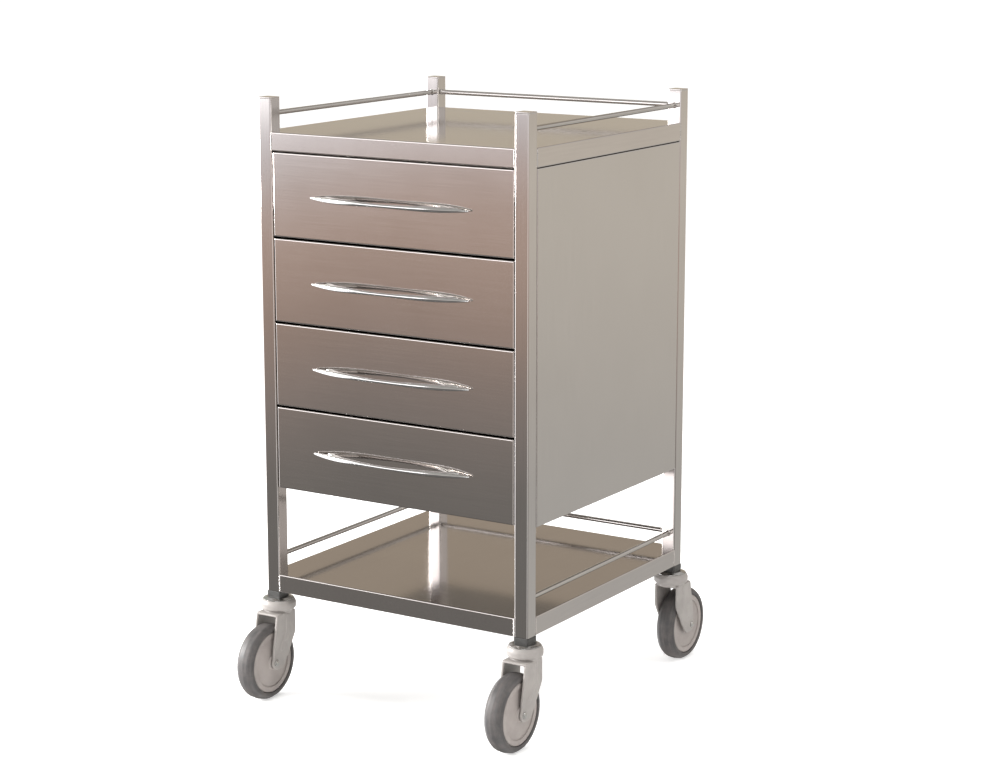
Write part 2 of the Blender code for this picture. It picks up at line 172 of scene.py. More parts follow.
class Finish(Kit):
    """A surface material: fixed values go on the shader's own sockets, the rest is wired."""

    def __init__(self, name, **fixed):
        self.material = bpy.data.materials.new(name)
        self.material.use_nodes = True
        super().__init__(self.material.node_tree)
        self.shader = self.tree.nodes["Principled BSDF"]
        for socket, value in fixed.items():
            self.shader.inputs[socket.replace("_", " ")].default_value = value

    def drive(self, **wires):
        for socket, wire in wires.items():
            self.tree.links.new(wire.socket, self.shader.inputs[socket.replace("_", " ")])
        return self.material


# ---------------------------------------------------------------- studio

# Colours by height: 0 is well below the horizon, 0.35 is the horizon and 1 is high above it.
GROUND = [(0.0, (0.19, 0.185, 0.18)), (0.115, (0.225, 0.22, 0.21)), (0.150, (0.33, 0.29, 0.27)),
          (0.180, (0.46, 0.36, 0.31)), (0.216, (0.62, 0.48, 0.41)), (0.235, (0.66, 0.55, 0.51)),
          (0.250, (0.76, 0.73, 0.74)), (0.262, (0.88, 0.85, 0.89))]
WINDOW = [*GROUND, (0.276, (1.75, 1.75, 1.8)), (0.30, (3.0, 3.0, 3.1)), (0.63, (3.0, 3.0, 3.1)),
          (0.70, (0.62, 0.58, 0.55)), (1.0, (0.50, 0.48, 0.46))]
PLAIN_FRONT = [*GROUND, (0.40, (0.62, 0.61, 0.58)), (0.75, (0.46, 0.455, 0.43))]
BACK = [(0.0, (0.62, 0.62, 0.60)), (0.115, (0.56, 0.555, 0.53)), (0.18, (0.66, 0.63, 0.575)),
        (0.23, (0.75, 0.71, 0.635)), (0.40, (0.55, 0.50, 0.42)), (0.455, (0.54, 0.475, 0.385)),
        (0.60, (0.415, 0.352, 0.28)), (0.80, (0.38, 0.342, 0.297)), (1.0, (0.60, 0.59, 0.58))]
PALE_BACK = (0.76, 0.74, 0.72, 1.0)
DARK_CORNER = (0.20, 0.18, 0.15, 1.0)
LIGHT_STRIP = (1.7, 1.7, 1.7, 1.0)
LEFT_WALL_LOW = (2.1, 2.1, 2.15, 1.0)
LEFT_WALL_HIGH = (0.50, 0.52, 0.47, 1.0)
GROUND_RADIUS = 26.0


def make_world():
    """A studio seen in the metal: windows in front on the left, a dim warm floor, a white wall on the left,
    a plain front with a strip of light on the right, and tan behind."""
    world = bpy.data.worlds.new("studio")
    world.use_nodes = True
    scene.world = world
    kit = Kit(world.node_tree)
    across, along, up = kit.axes(kit.node("ShaderNodeTexCoord"))
    left = across * -1.0
    tilt = left.step(0.55, 0.63, 0.0, 0.017)
    tilt = tilt + across.step(-0.57, -0.52, 0.0, 0.014) * up.step(-0.17, -0.12, 1.0, 0.0)
    height = (up + tilt).step(-0.35, 0.65, plain=True)
    front = kit.mix(left.step(0.22, 0.34), kit.ramp(height, PLAIN_FRONT), kit.ramp(height, WINDOW))
    front = kit.mix(across.step(0.12, 0.20) * across.step(0.42, 0.50, 1.0, 0.0), front, LIGHT_STRIP)
    back = kit.ramp(height, BACK)
    back = kit.mix(across.step(0.15, 0.35) * height.step(0.36, 0.42), back, PALE_BACK)
    back = kit.mix(left.step(0.20, 0.35) * height.step(0.05, 0.16, 1.0, 0.0), back, DARK_CORNER)
    colour = kit.mix(along.step(-0.25, 0.25), front, back)
    wall = kit.mix(up.step(-0.06, 0.08), LEFT_WALL_LOW, LEFT_WALL_HIGH)
    colour = kit.mix(left.step(0.66, 0.76), colour, wall)
    kit.tree.links.new(colour.socket, kit.tree.nodes["Background"].inputs["Color"])


def soft_light(name, place, aim, size, power, mirrored=True):
    lamp = bpy.data.lights.new(name, "AREA")
    lamp.shape = "RECTANGLE"
    lamp.size, lamp.size_y = size
    lamp.energy = power
    holder = placed(name, lamp)
    holder.location = place
    holder.rotation_euler = (Vector(place) - Vector(aim)).to_track_quat("Z", "Y").to_euler()
    holder.visible_glossy = mirrored


def make_studio():
    make_world()
    scene.view_settings.view_transform = "Standard"
    soft_light("overhead_box", (-0.4, -0.6, 3.0), (0.0, 0.0, 0.4), (2.4, 2.0), 60, mirrored=False)
    soft_light("left_box", (-2.6, -1.6, 1.9), (0.0, 0.0, 0.5), (1.2, 1.8), 12)
    soft_light("right_box", (2.8, 0.4, 1.8), (0.0, 0.0, 0.4), (1.0, 1.6), 18)
    soft_light("low_left_box", (-2.2, -1.2, 0.9), (0.0, 0.0, 0.15), (1.2, 0.8), 100)
    make_ground()


def make_ground():
    """A pale disc under the cart; the metal mirrors the studio below the horizon instead of it."""
    builder = bmesh.new()
    bmesh.ops.create_circle(builder, cap_ends=True, segments=96, radius=GROUND_RADIUS)
    floor = placed("floor", released(builder))
    pale = Finish("pale_floor", Roughness=0.9, Specular_IOR_Level=0.1, Emission_Color=(1, 1, 1, 1),
                  Emission_Strength=0.45)
    tone = pale.noise(pale.object_place(), 3.0)
    pale.drive(Base_Color=pale.mix(tone, (0.93, 0.93, 0.93, 1), (0.96, 0.96, 0.96, 1)))
    floor.data.materials.append(pale.material)
    floor.visible_glossy = False


make_studio()


# ---------------------------------------------------------------- sizes

SHEET = 0.0012
BEND = 0.0016
FACE_INSET = 4 * BEND
CUT_EDGE = 0.0003
SUPPORT = 0.0004
GAP = 0.0003
MERGE = 0.000001
SHARP = math.radians(50)

POST_WALL = 0.0015
POST_CORNER = 0.0025
CAP_SEAM = 0.0022
SEAM_DEPTH = 0.00025
TRAY_RETURN = 0.009
RAIL_WELD = 0.0011
PANEL_LIP = 0.024

PAN_RETURN = 0.038
FRONT_BEND = 0.0018
FRONT_CORNER = 0.0008
BOX_CORNER = 0.0022
HEM_DEPTH = 0.009
HEM_THICK = 0.0027
HEM_BEND = 0.0011
RUNNER_LIP = 0.0022
RUNNER_SCREWS = (0.12, 0.5, 0.88)
BALL_RADIUS = 0.0016
BALL_PITCH = 0.026
BALL_HEIGHT = 0.0119
CAGE_HALF_WIDTH = 0.0022
CAGE_HALF_THICK = 0.0005
CAGE_CORNER = 0.0012
DRAWER_HALF = 0.2115
STRIP_HALF = 0.010
SCREW_RADIUS = 0.0042
FRONT_SCREW_X = 0.190
FRONT_SCREW_LIFTS = (-0.034, 0.026)

HANDLE_HALF = 0.147
HANDLE_REACH = 0.0265
HANDLE_TIP_REACH = 0.005
HANDLE_RADIUS = 0.0042
HANDLE_MIDDLE = 0.68
HANDLE_WING = 1.06
HANDLE_TIP = 0.36
HANDLE_WING_AT = 0.6
HANDLE_STEPS = 60
HANDLE_SIDES = 24
FOOT_ON_BAR = 0.070
FOOT_ON_FACE = 0.116
FOOT_SLIM = 0.62
FOOT_FLARE = 0.30
FOOT_STEPS = 10
FOOT_SUNK = Vector((0.007, 0.003, 0.0))

WHEEL_RADIUS = 0.0625
WHEEL_HALF = 0.016
WHEEL_SIDES = 96
HUB_RADIUS = 0.050
HUB_HALF = 0.0168
TRAIL = 0.037
LEG_INNER = 0.0178
LEG_OUTER = 0.0222
CROWN_FRONT = 0.0165
CROWN_REAR = -0.033
CROWN_BOTTOM = 0.138
CROWN_TOP = 0.1415
PLATE_CORNER = 0.004
HEAD_FLOOR = 0.146
HEAD_NECK = 0.0228
LEG_FOOT = 0.0122
BOSS_RADIUS = 0.0088
RIDGE_HEIGHT = 0.0008
PIN_RADIUS = 0.006
PIN_BORE = 0.0068
AXLE_RADIUS = 0.004
AXLE_DOME_RADIUS = 0.0047
AXLE_CAP_RADIUS = 0.0055
COLLAR_HEIGHT = 0.011
COLLAR_HALF = 0.01325
COLLAR_LIP = 0.0006
STEM_HALF = 0.0107
SWIVEL_TOP = 0.1634
RING_TOP = SWIVEL_TOP + 0.0012

CORNERS = {"front_left": (-1, -1), "front_right": (1, -1), "rear_left": (-1, 1), "rear_right": (1, 1)}
SIDES = {"left": -1, "right": 1}
DRAWERS = (1, 2, 3, 4)

ACROSS = Vector((1.0, 0.0, 0.0))
ALONG = Vector((0.0, 1.0, 0.0))
UP = Vector((0.0, 0.0, 1.0))


# ---------------------------------------------------------------- mesh kit

def filleted(points, radius, steps=4, closed=False):
    """A line through (x, y) or (x, y, own radius) corners, rounded, with a support point by each bend."""
    spots = [Vector(point[:2]) for point in points]
    line = []
    for i, point in enumerate(points):
        here = spots[i]
        size = point[2] if len(point) > 2 else radius
        if size == 0 or (not closed and i in (0, len(points) - 1)):
            line.append(tuple(here))
            continue
        before = (spots[i - 1] - here).normalized()
        after = (spots[(i + 1) % len(points)] - here).normalized()
        half_angle = before.angle(after) / 2
        reach = size / math.tan(half_angle)
        centre = here + (before + after).normalized() * (size / math.sin(half_angle))
        first = here + before * reach - centre
        last = here + after * reach - centre
        start = math.atan2(first.y, first.x)
        sweep = (math.atan2(last.y, last.x) - start + math.pi) % math.tau - math.pi
        line.append(tuple(here + before * (reach + SUPPORT)))
        for step in range(steps + 1):
            angle = start + sweep * step / steps
            line.append((centre.x + size * math.cos(angle), centre.y + size * math.sin(angle)))
        line.append(tuple(here + after * (reach + SUPPORT)))
    return line


def closed_mesh(builder):
    """The builder's mesh, merged, with its faces pointing out and its round stretches smooth."""
    bmesh.ops.remove_doubles(builder, verts=builder.verts, dist=MERGE)
    bmesh.ops.recalc_face_normals(builder, faces=builder.faces)
    mesh = released(builder)
    mesh.shade_smooth()
    mesh.set_sharp_from_angle(angle=SHARP)
    return mesh


def loft(rings, place=Matrix(), loop=False):
    """A skin over rings of points; its ends are filled unless it closes on itself."""
    builder = bmesh.new()
    rows = [[builder.verts.new(place @ Vector(point)) for point in ring] for ring in rings]
    following = rows[1:] + rows[:1] if loop else rows[1:]
    for row, after in zip(rows, following):
        for i in range(len(row)):
            j = (i + 1) % len(row)
            builder.faces.new((row[i], row[j], after[j], after[i]))
    if not loop:
        builder.faces.new(rows[0])
        builder.faces.new(rows[-1])
    return closed_mesh(builder)


def folded(plan, path, place=Matrix()):
    """Sheet or tube whose outline follows a path of (inset, height), filled at both ends of the path."""
    return loft([[(x, y, height) for x, y in plan(inset)] for inset, height in path], place)


def box_plan(half_x, half_y, corner):
    """A rectangle's outline with round corners, which keeps its number of points at any inset."""
    def outline(inset):
        x = half_x - inset
        y = half_y - inset
        return filleted([(x, y), (-x, y), (-x, -y), (x, -y)], max(corner - inset, SUPPORT), closed=True)
    return outline


def around(sides):
    return [math.tau * i / sides for i in range(sides)]


def turned(profile, sides, place=Matrix(), loop=False):
    """A shape turned about its z axis from (radius, height) points."""
    rings = [[(radius * math.cos(a), radius * math.sin(a), height) for a in around(sides)]
             for radius, height in profile]
    return loft(rings, place, loop)


def extruded(outline, start, end, place=Matrix()):
    """A flat outline drawn out along z."""
    return loft([[(x, y, start) for x, y in outline], [(x, y, end) for x, y in outline]], place)


def rod(centres, radii, sides=16):
    """A round rod along points that lie level, as thick as radii says at each."""
    rings = []
    for i, (centre, radius) in enumerate(zip(centres, radii)):
        along = (centres[min(i + 1, len(centres) - 1)] - centres[max(i - 1, 0)]).normalized()
        side = along.cross(UP).normalized()
        lift = side.cross(along)
        rings.append([centre + (side * math.cos(a) + lift * math.sin(a)) * radius for a in around(sides)])
    return loft(rings)


def facing(origin, across, up, out):
    """Lays a shape's x, y and z along three directions from an origin."""
    return Matrix.Translation(origin) @ Matrix((across, up, out)).transposed().to_4x4()


def worked(mesh, *steps):
    """The mesh after modifiers, each given as its kind and its settings."""
    blank = placed("blank", mesh)
    for kind, settings in steps:
        step = blank.modifiers.new(kind.lower(), kind)
        for name, value in settings.items():
            setattr(step, name, value)
    return evaluated(blank)


def evaluated(blank):
    """The result of an object's modifiers; the object goes."""
    bpy.context.view_layer.update()
    graph = bpy.context.evaluated_depsgraph_get()
    made = bpy.data.meshes.new_from_object(blank.evaluated_get(graph))
    bpy.data.objects.remove(blank, do_unlink=True)
    return made


def joined(*meshes):
    builder = bmesh.new()
    for mesh in meshes:
        builder.from_mesh(mesh)
    return released(builder)


def copied(mesh, place):
    made = mesh.copy()
    made.transform(place)
    return made


def softened(mesh, width):
    """Rounds the edges of a plate."""
    settings = {"width": width, "segments": 2, "limit_method": "ANGLE", "angle_limit": SHARP}
    return worked(mesh, ("BEVEL", settings))


def moulded(mesh, voxel, passes, keep):
    """One smooth skin over overlapping shapes, as a casting or a moulding has."""
    return worked(mesh, ("REMESH", {"mode": "VOXEL", "voxel_size": voxel, "use_smooth_shade": True}),
                  ("SMOOTH", {"factor": 0.5, "iterations": passes}), ("DECIMATE", {"ratio": keep}))


def piece(name, mesh, body, finish, slot, *nodes):
    """A finished piece that rides on a body and stands for CAD nodes."""
    mesh.name = name
    mesh.materials.clear()
    mesh.materials.append(finish)
    made = placed(name, mesh)
    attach(made, body)
    if nodes:
        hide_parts(*nodes)
    return made


# ---------------------------------------------------------------- geometry nodes

class Grower(Kit):
    """A Geometry Nodes tree that grows one shape on many points, with named sizes."""

    def __init__(self, name, **sizes):
        super().__init__(bpy.data.node_groups.new(name, "GeometryNodeTree"))
        face = self.tree.interface
        face.new_socket(name="Geometry", in_out="INPUT", socket_type="NodeSocketGeometry")
        face.new_socket(name="Geometry", in_out="OUTPUT", socket_type="NodeSocketGeometry")
        self.defaults = sizes
        self.handles = {}
        for label, value in sizes.items():
            kind = "NodeSocketInt" if isinstance(value, int) else "NodeSocketFloat"
            self.handles[label] = face.new_socket(name=label, in_out="INPUT", socket_type=kind).identifier
        self.entry = self.tree.nodes.new("NodeGroupInput")
        self.points = Wire(self, self.entry.outputs["Geometry"])

    def size(self, label):
        return Wire(self, self.entry.outputs[label])

    def instances(self, points, shape, **values):
        return self.node("GeometryNodeInstanceOnPoints", {}, {"Points": points, "Instance": shape, **values})

    def lifted(self, shape, rise):
        shift = self.node("ShaderNodeCombineXYZ", {}, {2: rise})
        return self.node("GeometryNodeTransform", {}, {"Geometry": shape, "Translation": shift})

    def ending(self, geometry, material):
        real = self.node("GeometryNodeRealizeInstances", {}, {0: geometry})
        smooth = self.node("GeometryNodeSetShadeSmooth", {}, {0: real})
        painted = self.node("GeometryNodeSetMaterial", {}, {"Geometry": smooth, "Material": material})
        leave = self.tree.nodes.new("NodeGroupOutput")
        self.tree.links.new(painted.socket, leave.inputs["Geometry"])

    def grow(self, mesh, **sizes):
        """The tree's result on a mesh of points or edges, as a plain mesh."""
        blank = placed("blank", mesh)
        step = blank.modifiers.new("grower", "NODES")
        step.node_group = self.tree
        for label, value in {**self.defaults, **sizes}.items():
            step[self.handles[label]] = value
        return evaluated(blank)


def spots_mesh(spots, edges=(), directions=None):
    """Points, with edges or with the direction that each one faces."""
    mesh = bpy.data.meshes.new("spots")
    mesh.from_pydata([tuple(spot) for spot in spots], list(edges), [])
    if directions:
        face = mesh.attributes.new("facing", "FLOAT_VECTOR", "POINT")
        for item, direction in zip(face.data, directions):
            item.vector = direction
    return mesh


def screw_tree(finish):
    """Low button heads with a hexagon socket, turned to face as their points say."""
    tree = Grower("button_screws", Head_Radius=SCREW_RADIUS, Head_Height=0.0022)
    radius = tree.size("Head_Radius")
    height = tree.size("Head_Height")
    half_height = height * 0.5
    shoulder = radius * 0.94
    skirt, crown = (tree.node("GeometryNodeMeshCone", {"fill_type": "NGON"},
                              {"Vertices": 20, "Radius Top": top, "Radius Bottom": bottom,
                               "Depth": half_height})
                    for bottom, top in ((radius, shoulder), (shoulder, radius * 0.62)))
    crown = tree.lifted(crown, half_height)
    socket = tree.node("GeometryNodeMeshCylinder", {},
                       {"Vertices": 6, "Radius": radius * 0.40, "Depth": height})
    socket = tree.lifted(socket, height)
    whole = tree.node("GeometryNodeMeshBoolean", {"operation": "UNION"}, {1: skirt})
    tree.tree.links.new(crown.socket, whole.socket.node.inputs[1])
    head = tree.node("GeometryNodeMeshBoolean", {"operation": "DIFFERENCE"}, {0: whole, 1: socket})
    direction = tree.node("GeometryNodeInputNamedAttribute", {"data_type": "FLOAT_VECTOR"},
                          {"Name": "facing"})
    turn = tree.node("FunctionNodeAlignEulerToVector", {"axis": "Z"}, {"Vector": direction})
    tree.ending(tree.instances(tree.points, head, Rotation=turn), finish)
    return tree


def ball_tree(finish):
    """Bearing balls at a pitch along edges."""
    tree = Grower("bearing_balls", Ball_Radius=BALL_RADIUS, Pitch=BALL_PITCH)
    line = tree.node("GeometryNodeMeshToCurve", {}, {"Mesh": tree.points})
    spread = tree.node("GeometryNodeCurveToPoints", {"mode": "LENGTH"},
                       {"Curve": line, "Length": tree.size("Pitch")})
    ball = tree.node("GeometryNodeMeshUVSphere", {},
                     {"Segments": 10, "Rings": 6, "Radius": tree.size("Ball_Radius")})
    tree.ending(tree.instances(spread, ball), finish)
    return tree


def weld_tree(finish):
    """Weld beads: overlapping flat ripples along edges, each a little different."""
    tree = Grower("weld_beads", Bead_Radius=0.0021, Ripple=0.0014, Seed=7)
    radius = tree.size("Bead_Radius")
    line = tree.node("GeometryNodeMeshToCurve", {}, {"Mesh": tree.points})
    spread = tree.node("GeometryNodeCurveToPoints", {"mode": "LENGTH"},
                       {"Curve": line, "Length": tree.size("Ripple")})
    turn = Wire(tree, spread.socket.node.outputs["Rotation"])
    ripple = tree.node("GeometryNodeMeshUVSphere", {}, {"Segments": 8, "Rings": 5, "Radius": radius})
    uneven = tree.node("FunctionNodeRandomValue", {"data_type": "FLOAT"},
                       {2: 0.85, 3: 1.12, "Seed": tree.size("Seed")}, output=1)
    shape = tree.node("ShaderNodeCombineXYZ", {}, {0: uneven, 1: uneven, 2: uneven * 0.6})
    tree.ending(tree.instances(spread, ripple, Rotation=turn, Scale=shape), finish)
    return tree


# ---------------------------------------------------------------- finishes

def shade(red, green, blue):
    return (red, green, blue, 1.0)


def brushed_steel(name, light, dark, roughness, grain, spread, marks):
    """Stainless steel: fine lines along its grain, clouds from wiping and a few long hairline scratches."""
    steel = Finish(name, Metallic=1.0)
    lines = steel.noise(steel.object_place(grain), 1.0, 3.0, 0.65)
    cloud = steel.noise(steel.object_place(), 7.0, 3.0, 0.55)
    hair = steel.noise(steel.object_place((7.0, 260.0, 9.0), (0.3, 0.5, 0.6)), 1.0, 2.0).step(0.70, 0.76)
    tone = lines * 0.5 + cloud * 0.5
    base = steel.mix(tone.step(0.30, 0.70), dark, light)
    rough = lines * spread + cloud * (spread * 0.8) + hair * marks + (roughness - spread * 0.9)
    return steel.drive(Base_Color=base, Roughness=rough, Normal=steel.bump(lines - hair * 0.6, 0.0000012))


def chrome_plate():
    """Bright plating with faint finger smudges and pitting."""
    chrome = Finish("handle_chrome", Metallic=1.0)
    smudge = chrome.noise(chrome.object_place((1.0, 1.0, 2.2)), 60.0, 4.0, 0.6).step(0.48, 0.75)
    pits = chrome.noise(chrome.object_place(), 900.0, 1.0).step(0.70, 0.80)
    base = chrome.mix(smudge, shade(0.70, 0.69, 0.68), shade(0.62, 0.61, 0.60))
    return chrome.drive(Base_Color=base, Roughness=smudge * 0.10 + pits * 0.10 + 0.05,
                        Normal=chrome.bump(pits, 0.00001))


def zinc_plate(name, light, dark, roughness):
    """Zinc plate with its crystal pattern and dull patches where parts rub."""
    zinc = Finish(name, Metallic=1.0)
    place = zinc.object_place()
    crystal = zinc.node("ShaderNodeTexVoronoi", {}, {"Vector": place, "Scale": 170.0}, output=0)
    dull = zinc.noise(place, 26.0, 3.0)
    base = zinc.mix(crystal.step(0.1, 0.9) * 0.6 + dull * 0.4, light, dark)
    return zinc.drive(Base_Color=base, Roughness=crystal * 0.12 + dull * 0.22 + (roughness - 0.12),
                      Normal=zinc.bump(crystal, 0.00002))


def moulded_plastic(name, light, dark, roughness, scuff_colour):
    """Moulded plastic with a fine spark-eroded texture, dusty patches and scuffs."""
    plastic = Finish(name, Specular_IOR_Level=0.5)
    place = plastic.object_place()
    texture = plastic.noise(place, 1500.0, 2.0)
    dust = plastic.noise(place, 32.0, 4.0, 0.6)
    scratched = plastic.object_place((34.0, 60.0, 210.0), (0.4, 0.2, 0.0))
    scuff = plastic.noise(scratched, 1.0, 3.0).step(0.62, 0.76)
    base = plastic.mix(dust.step(0.35, 0.70), light, dark)
    base = plastic.mix(scuff * 0.30, base, scuff_colour)
    return plastic.drive(Base_Color=base, Roughness=dust * 0.16 + scuff * 0.12 + (roughness - 0.08),
                         Normal=plastic.bump(texture + scuff * 0.5, 0.00003))


def tyre_rubber():
    """Grey rubber, lighter and duller with dust along the tread."""
    rubber = Finish("tyre_rubber", Specular_IOR_Level=0.45)
    place = rubber.object_place()
    pores = rubber.noise(place, 1100.0, 2.0)
    dust = rubber.noise(place, 45.0, 4.0, 0.65)
    worn = rubber.noise(rubber.object_place((260.0, 24.0, 24.0)), 1.0, 3.0)
    base = rubber.mix((dust * 0.6 + worn * 0.4).step(0.38, 0.66), shade(0.066, 0.063, 0.063),
                      shade(0.109, 0.097, 0.093))
    return rubber.drive(Base_Color=base, Roughness=dust * 0.22 + worn * 0.10 + 0.30,
                        Normal=rubber.bump(pores * 0.4 + worn * 0.6, 0.00005))


# How closely the grain lies across, along and up; the long way of its lines has the low number.
UPRIGHT_GRAIN = (420.0, 420.0, 9.0)
LEVEL_GRAIN = (9.0, 420.0, 520.0)
DECK_GRAIN = (460.0, 9.0, 300.0)
SIDE_GRAIN = (300.0, 380.0, 10.0)
DRAWN_GRAIN = (60.0, 60.0, 60.0)
MILL_GRAIN = (30.0, 30.0, 30.0)

# Light and dark tone, roughness, grain, how far the grain spreads the roughness, and the scratches' share.
STEELS = {
    "frame_tube": (shade(0.625, 0.59, 0.57), shade(0.585, 0.55, 0.53), 0.075, UPRIGHT_GRAIN, 0.03, 0.04),
    "guard_rail": (shade(0.58, 0.555, 0.53), shade(0.53, 0.505, 0.485), 0.09, DRAWN_GRAIN, 0.03, 0.04),
    "tray_sheet": (shade(0.625, 0.585, 0.56), shade(0.585, 0.545, 0.525), 0.10, DECK_GRAIN, 0.04, 0.06),
    "panel_sheet": (shade(0.62, 0.59, 0.57), shade(0.595, 0.565, 0.545), 0.17, SIDE_GRAIN, 0.06, 0.06),
    "drawer_front_steel": (shade(0.625, 0.585, 0.56), shade(0.59, 0.55, 0.525), 0.09, LEVEL_GRAIN,
                           0.04, 0.04),
    "drawer_box_steel": (shade(0.62, 0.61, 0.60), shade(0.54, 0.53, 0.52), 0.30, MILL_GRAIN, 0.12, 0.08),
}
ZINCS = {
    "runner_zinc": (shade(0.60, 0.60, 0.59), shade(0.40, 0.40, 0.40), 0.32),
    "axle_bolt": (shade(0.66, 0.65, 0.63), shade(0.48, 0.475, 0.465), 0.17),
}
PLASTICS = {
    "collar_plastic": (shade(0.042, 0.041, 0.039), shade(0.062, 0.060, 0.057), 0.42,
                       shade(0.16, 0.16, 0.155)),
    "fork_plastic": (shade(0.340, 0.315, 0.298), shade(0.294, 0.272, 0.258), 0.40, shade(0.44, 0.42, 0.41)),
    "hub_plastic": (shade(0.335, 0.298, 0.280), shade(0.291, 0.258, 0.243), 0.42, shade(0.42, 0.39, 0.37)),
}
FINISHES = {name: brushed_steel(name, *look) for name, look in STEELS.items()}
FINISHES["handle_chrome"] = chrome_plate()
FINISHES.update({name: zinc_plate(name, *look) for name, look in ZINCS.items()})
FINISHES.update({name: moulded_plastic(name, *look) for name, look in PLASTICS.items()})
FINISHES["tyre_rubber"] = tyre_rubber()


def fitted(name, mesh, body, slot, *nodes):
    """A piece in its slot's own finish."""
    return piece(name, mesh, body, FINISHES[slot], slot, *nodes)


# ---------------------------------------------------------------- frame

def make_post(corner):
    """A square tube with round corners and a cap welded into its top; the foot is open for the castor."""
    low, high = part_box(f"post_{corner}")
    middle = (low + high) / 2
    half = (high.x - low.x) / 2
    seam = high.z - CAP_SEAM
    groove = [(0.0, seam + 0.0007, 0.0), (0.0, seam + 0.0003, 0.0), (SEAM_DEPTH, seam, 0.0),
              (0.0, seam - 0.0003, 0.0), (0.0, seam - 0.0007, 0.0)]
    path = filleted([(half / 2, high.z), (0.0, high.z, 0.0006), *groove, (0.0, low.z, CUT_EDGE),
                     (POST_WALL, low.z, CUT_EDGE), (POST_WALL, seam)], CUT_EDGE, steps=3)
    place = Matrix.Translation((middle.x, middle.y, 0.0))
    mesh = folded(box_plan(half, half, POST_CORNER), path, place)
    fitted(f"post_{corner}", mesh, "frame", "frame_tube", f"post_{corner}")


def tray_skin(notch, section):
    """A deck with its corners cut out round the posts, and its four lips drawn along a section."""
    builder = bmesh.new()
    deck = []
    edge, top = section[0]
    for turn in range(4):
        quarter = Matrix.Rotation(turn * math.pi / 2, 4, "Z")
        rows = []
        for out, height in section:
            ends = [quarter @ Vector((out, side * notch, height)) for side in (-1, 1)]
            rows.append([builder.verts.new(end) for end in ends])
        for row, after in zip(rows, rows[1:]):
            builder.faces.new((row[0], row[1], after[1], after[0]))
        corners = ((edge, -notch, top), (edge, notch, top), (notch, notch, top))
        deck += [quarter @ Vector(corner) for corner in corners]
    builder.faces.new([builder.verts.new(spot) for spot in deck])
    bmesh.ops.remove_doubles(builder, verts=builder.verts, dist=MERGE)
    bmesh.ops.recalc_face_normals(builder, faces=builder.faces)
    flat = max(builder.faces, key=lambda face: face.calc_area())
    if flat.normal.z < 0:
        bmesh.ops.reverse_faces(builder, faces=builder.faces)
    mesh = released(builder)
    mesh.shade_smooth()
    return mesh


def make_tray(name):
    """A folded sheet: flat deck, lips down all round and a narrow return under each lip."""
    low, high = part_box(name)
    half = high.x
    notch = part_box("post_front_right")[0].x - GAP
    section = filleted([(half - 3 * BEND, high.z), (half, high.z), (half, low.z),
                        (half - TRAY_RETURN, low.z)], BEND)
    sheet = {"thickness": SHEET, "offset": -1.0, "use_even_offset": True}
    mesh = worked(tray_skin(notch, section), ("SOLIDIFY", sheet))
    mesh.set_sharp_from_angle(angle=SHARP)
    fitted(name, mesh, "frame", "tray_sheet", name)


def make_rail(name):
    """A round rod with a small weld fillet at each end."""
    low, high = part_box(name)
    middle = (low + high) / 2
    radius = (high.z - low.z) / 2
    runs_across = high.x - low.x > high.y - low.y
    half = (high.x - low.x) / 2 if runs_across else (high.y - low.y) / 2
    fillet = [(radius + RAIL_WELD * (1 - math.sin(a)), half - RAIL_WELD * (1 - math.cos(a)))
              for a in (math.radians(18 * step) for step in range(6))]
    end = [(0.0, half), *fillet]
    profile = end + [(spot, -height) for spot, height in reversed(end)]
    direction = ACROSS if runs_across else ALONG
    aside = ALONG if runs_across else -ACROSS
    fitted(name, turned(profile, 24, facing(middle, aside, UP, direction)), "frame", "guard_rail", name)


def pan_path(depth, lip, edge_bend):
    """A sheet's skin from its face over a return and its lip, and back along the inner side."""
    return filleted([(FACE_INSET, 0.0), (0.0, 0.0, edge_bend), (0.0, -depth), (lip, -depth, CUT_EDGE),
                     (lip, SHEET - depth, CUT_EDGE), (SHEET, SHEET - depth, CUT_EDGE),
                     (SHEET, -SHEET, CUT_EDGE), (FACE_INSET, -SHEET)], BEND)


def make_panel(name, across, out):
    """A panel folded into a shallow box: outer skin, four returns and lips round the open inner side."""
    low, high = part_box(name)
    middle = (low + high) / 2
    size = high - low
    half = abs(size.dot(across)) / 2
    half_height = size.z / 2
    depth = abs(size.dot(out))
    place = facing(middle + out * (depth / 2), across, UP, out)
    mesh = folded(box_plan(half, half_height, BEND / 2), pan_path(depth, PANEL_LIP, BEND), place)
    fitted(name, mesh, "frame", "panel_sheet", name)


def make_floor():
    """The sheet that closes the cabinet below, with its front edge turned up in a small hem."""
    low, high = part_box("cabinet_floor")
    outline = filleted([(low.y, high.z, CUT_EDGE), (low.y, low.z, BEND), (high.y, low.z, CUT_EDGE),
                        (high.y, low.z + SHEET, CUT_EDGE), (low.y + SHEET, low.z + SHEET, BEND - SHEET),
                        (low.y + SHEET, high.z, CUT_EDGE)], BEND, closed=True)
    mesh = extruded(outline, low.x, high.x, facing(Vector(), ALONG, UP, ACROSS))
    fitted("cabinet_floor", mesh, "frame", "panel_sheet", "cabinet_floor")


def make_tray_welds():
    """Weld beads on the hidden side, where the trays' lips meet the posts."""
    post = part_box("post_front_right")[0].x
    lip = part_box("top_tray")[1].x - SHEET
    spots = []
    edges = []
    for name in ("top_tray", "lower_shelf"):
        low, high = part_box(name)
        for side_x, side_y in CORNERS.values():
            for x, y in ((side_x * lip, side_y * post), (side_x * post, side_y * lip)):
                spots += [(x, y, low.z + 2 * SHEET), (x, y, high.z - 2 * SHEET)]
                edges.append((len(spots) - 2, len(spots) - 1))
    tree = weld_tree(FINISHES["frame_tube"])
    fitted("tray_welds", tree.grow(spots_mesh(spots, edges)), "frame", "frame_tube")


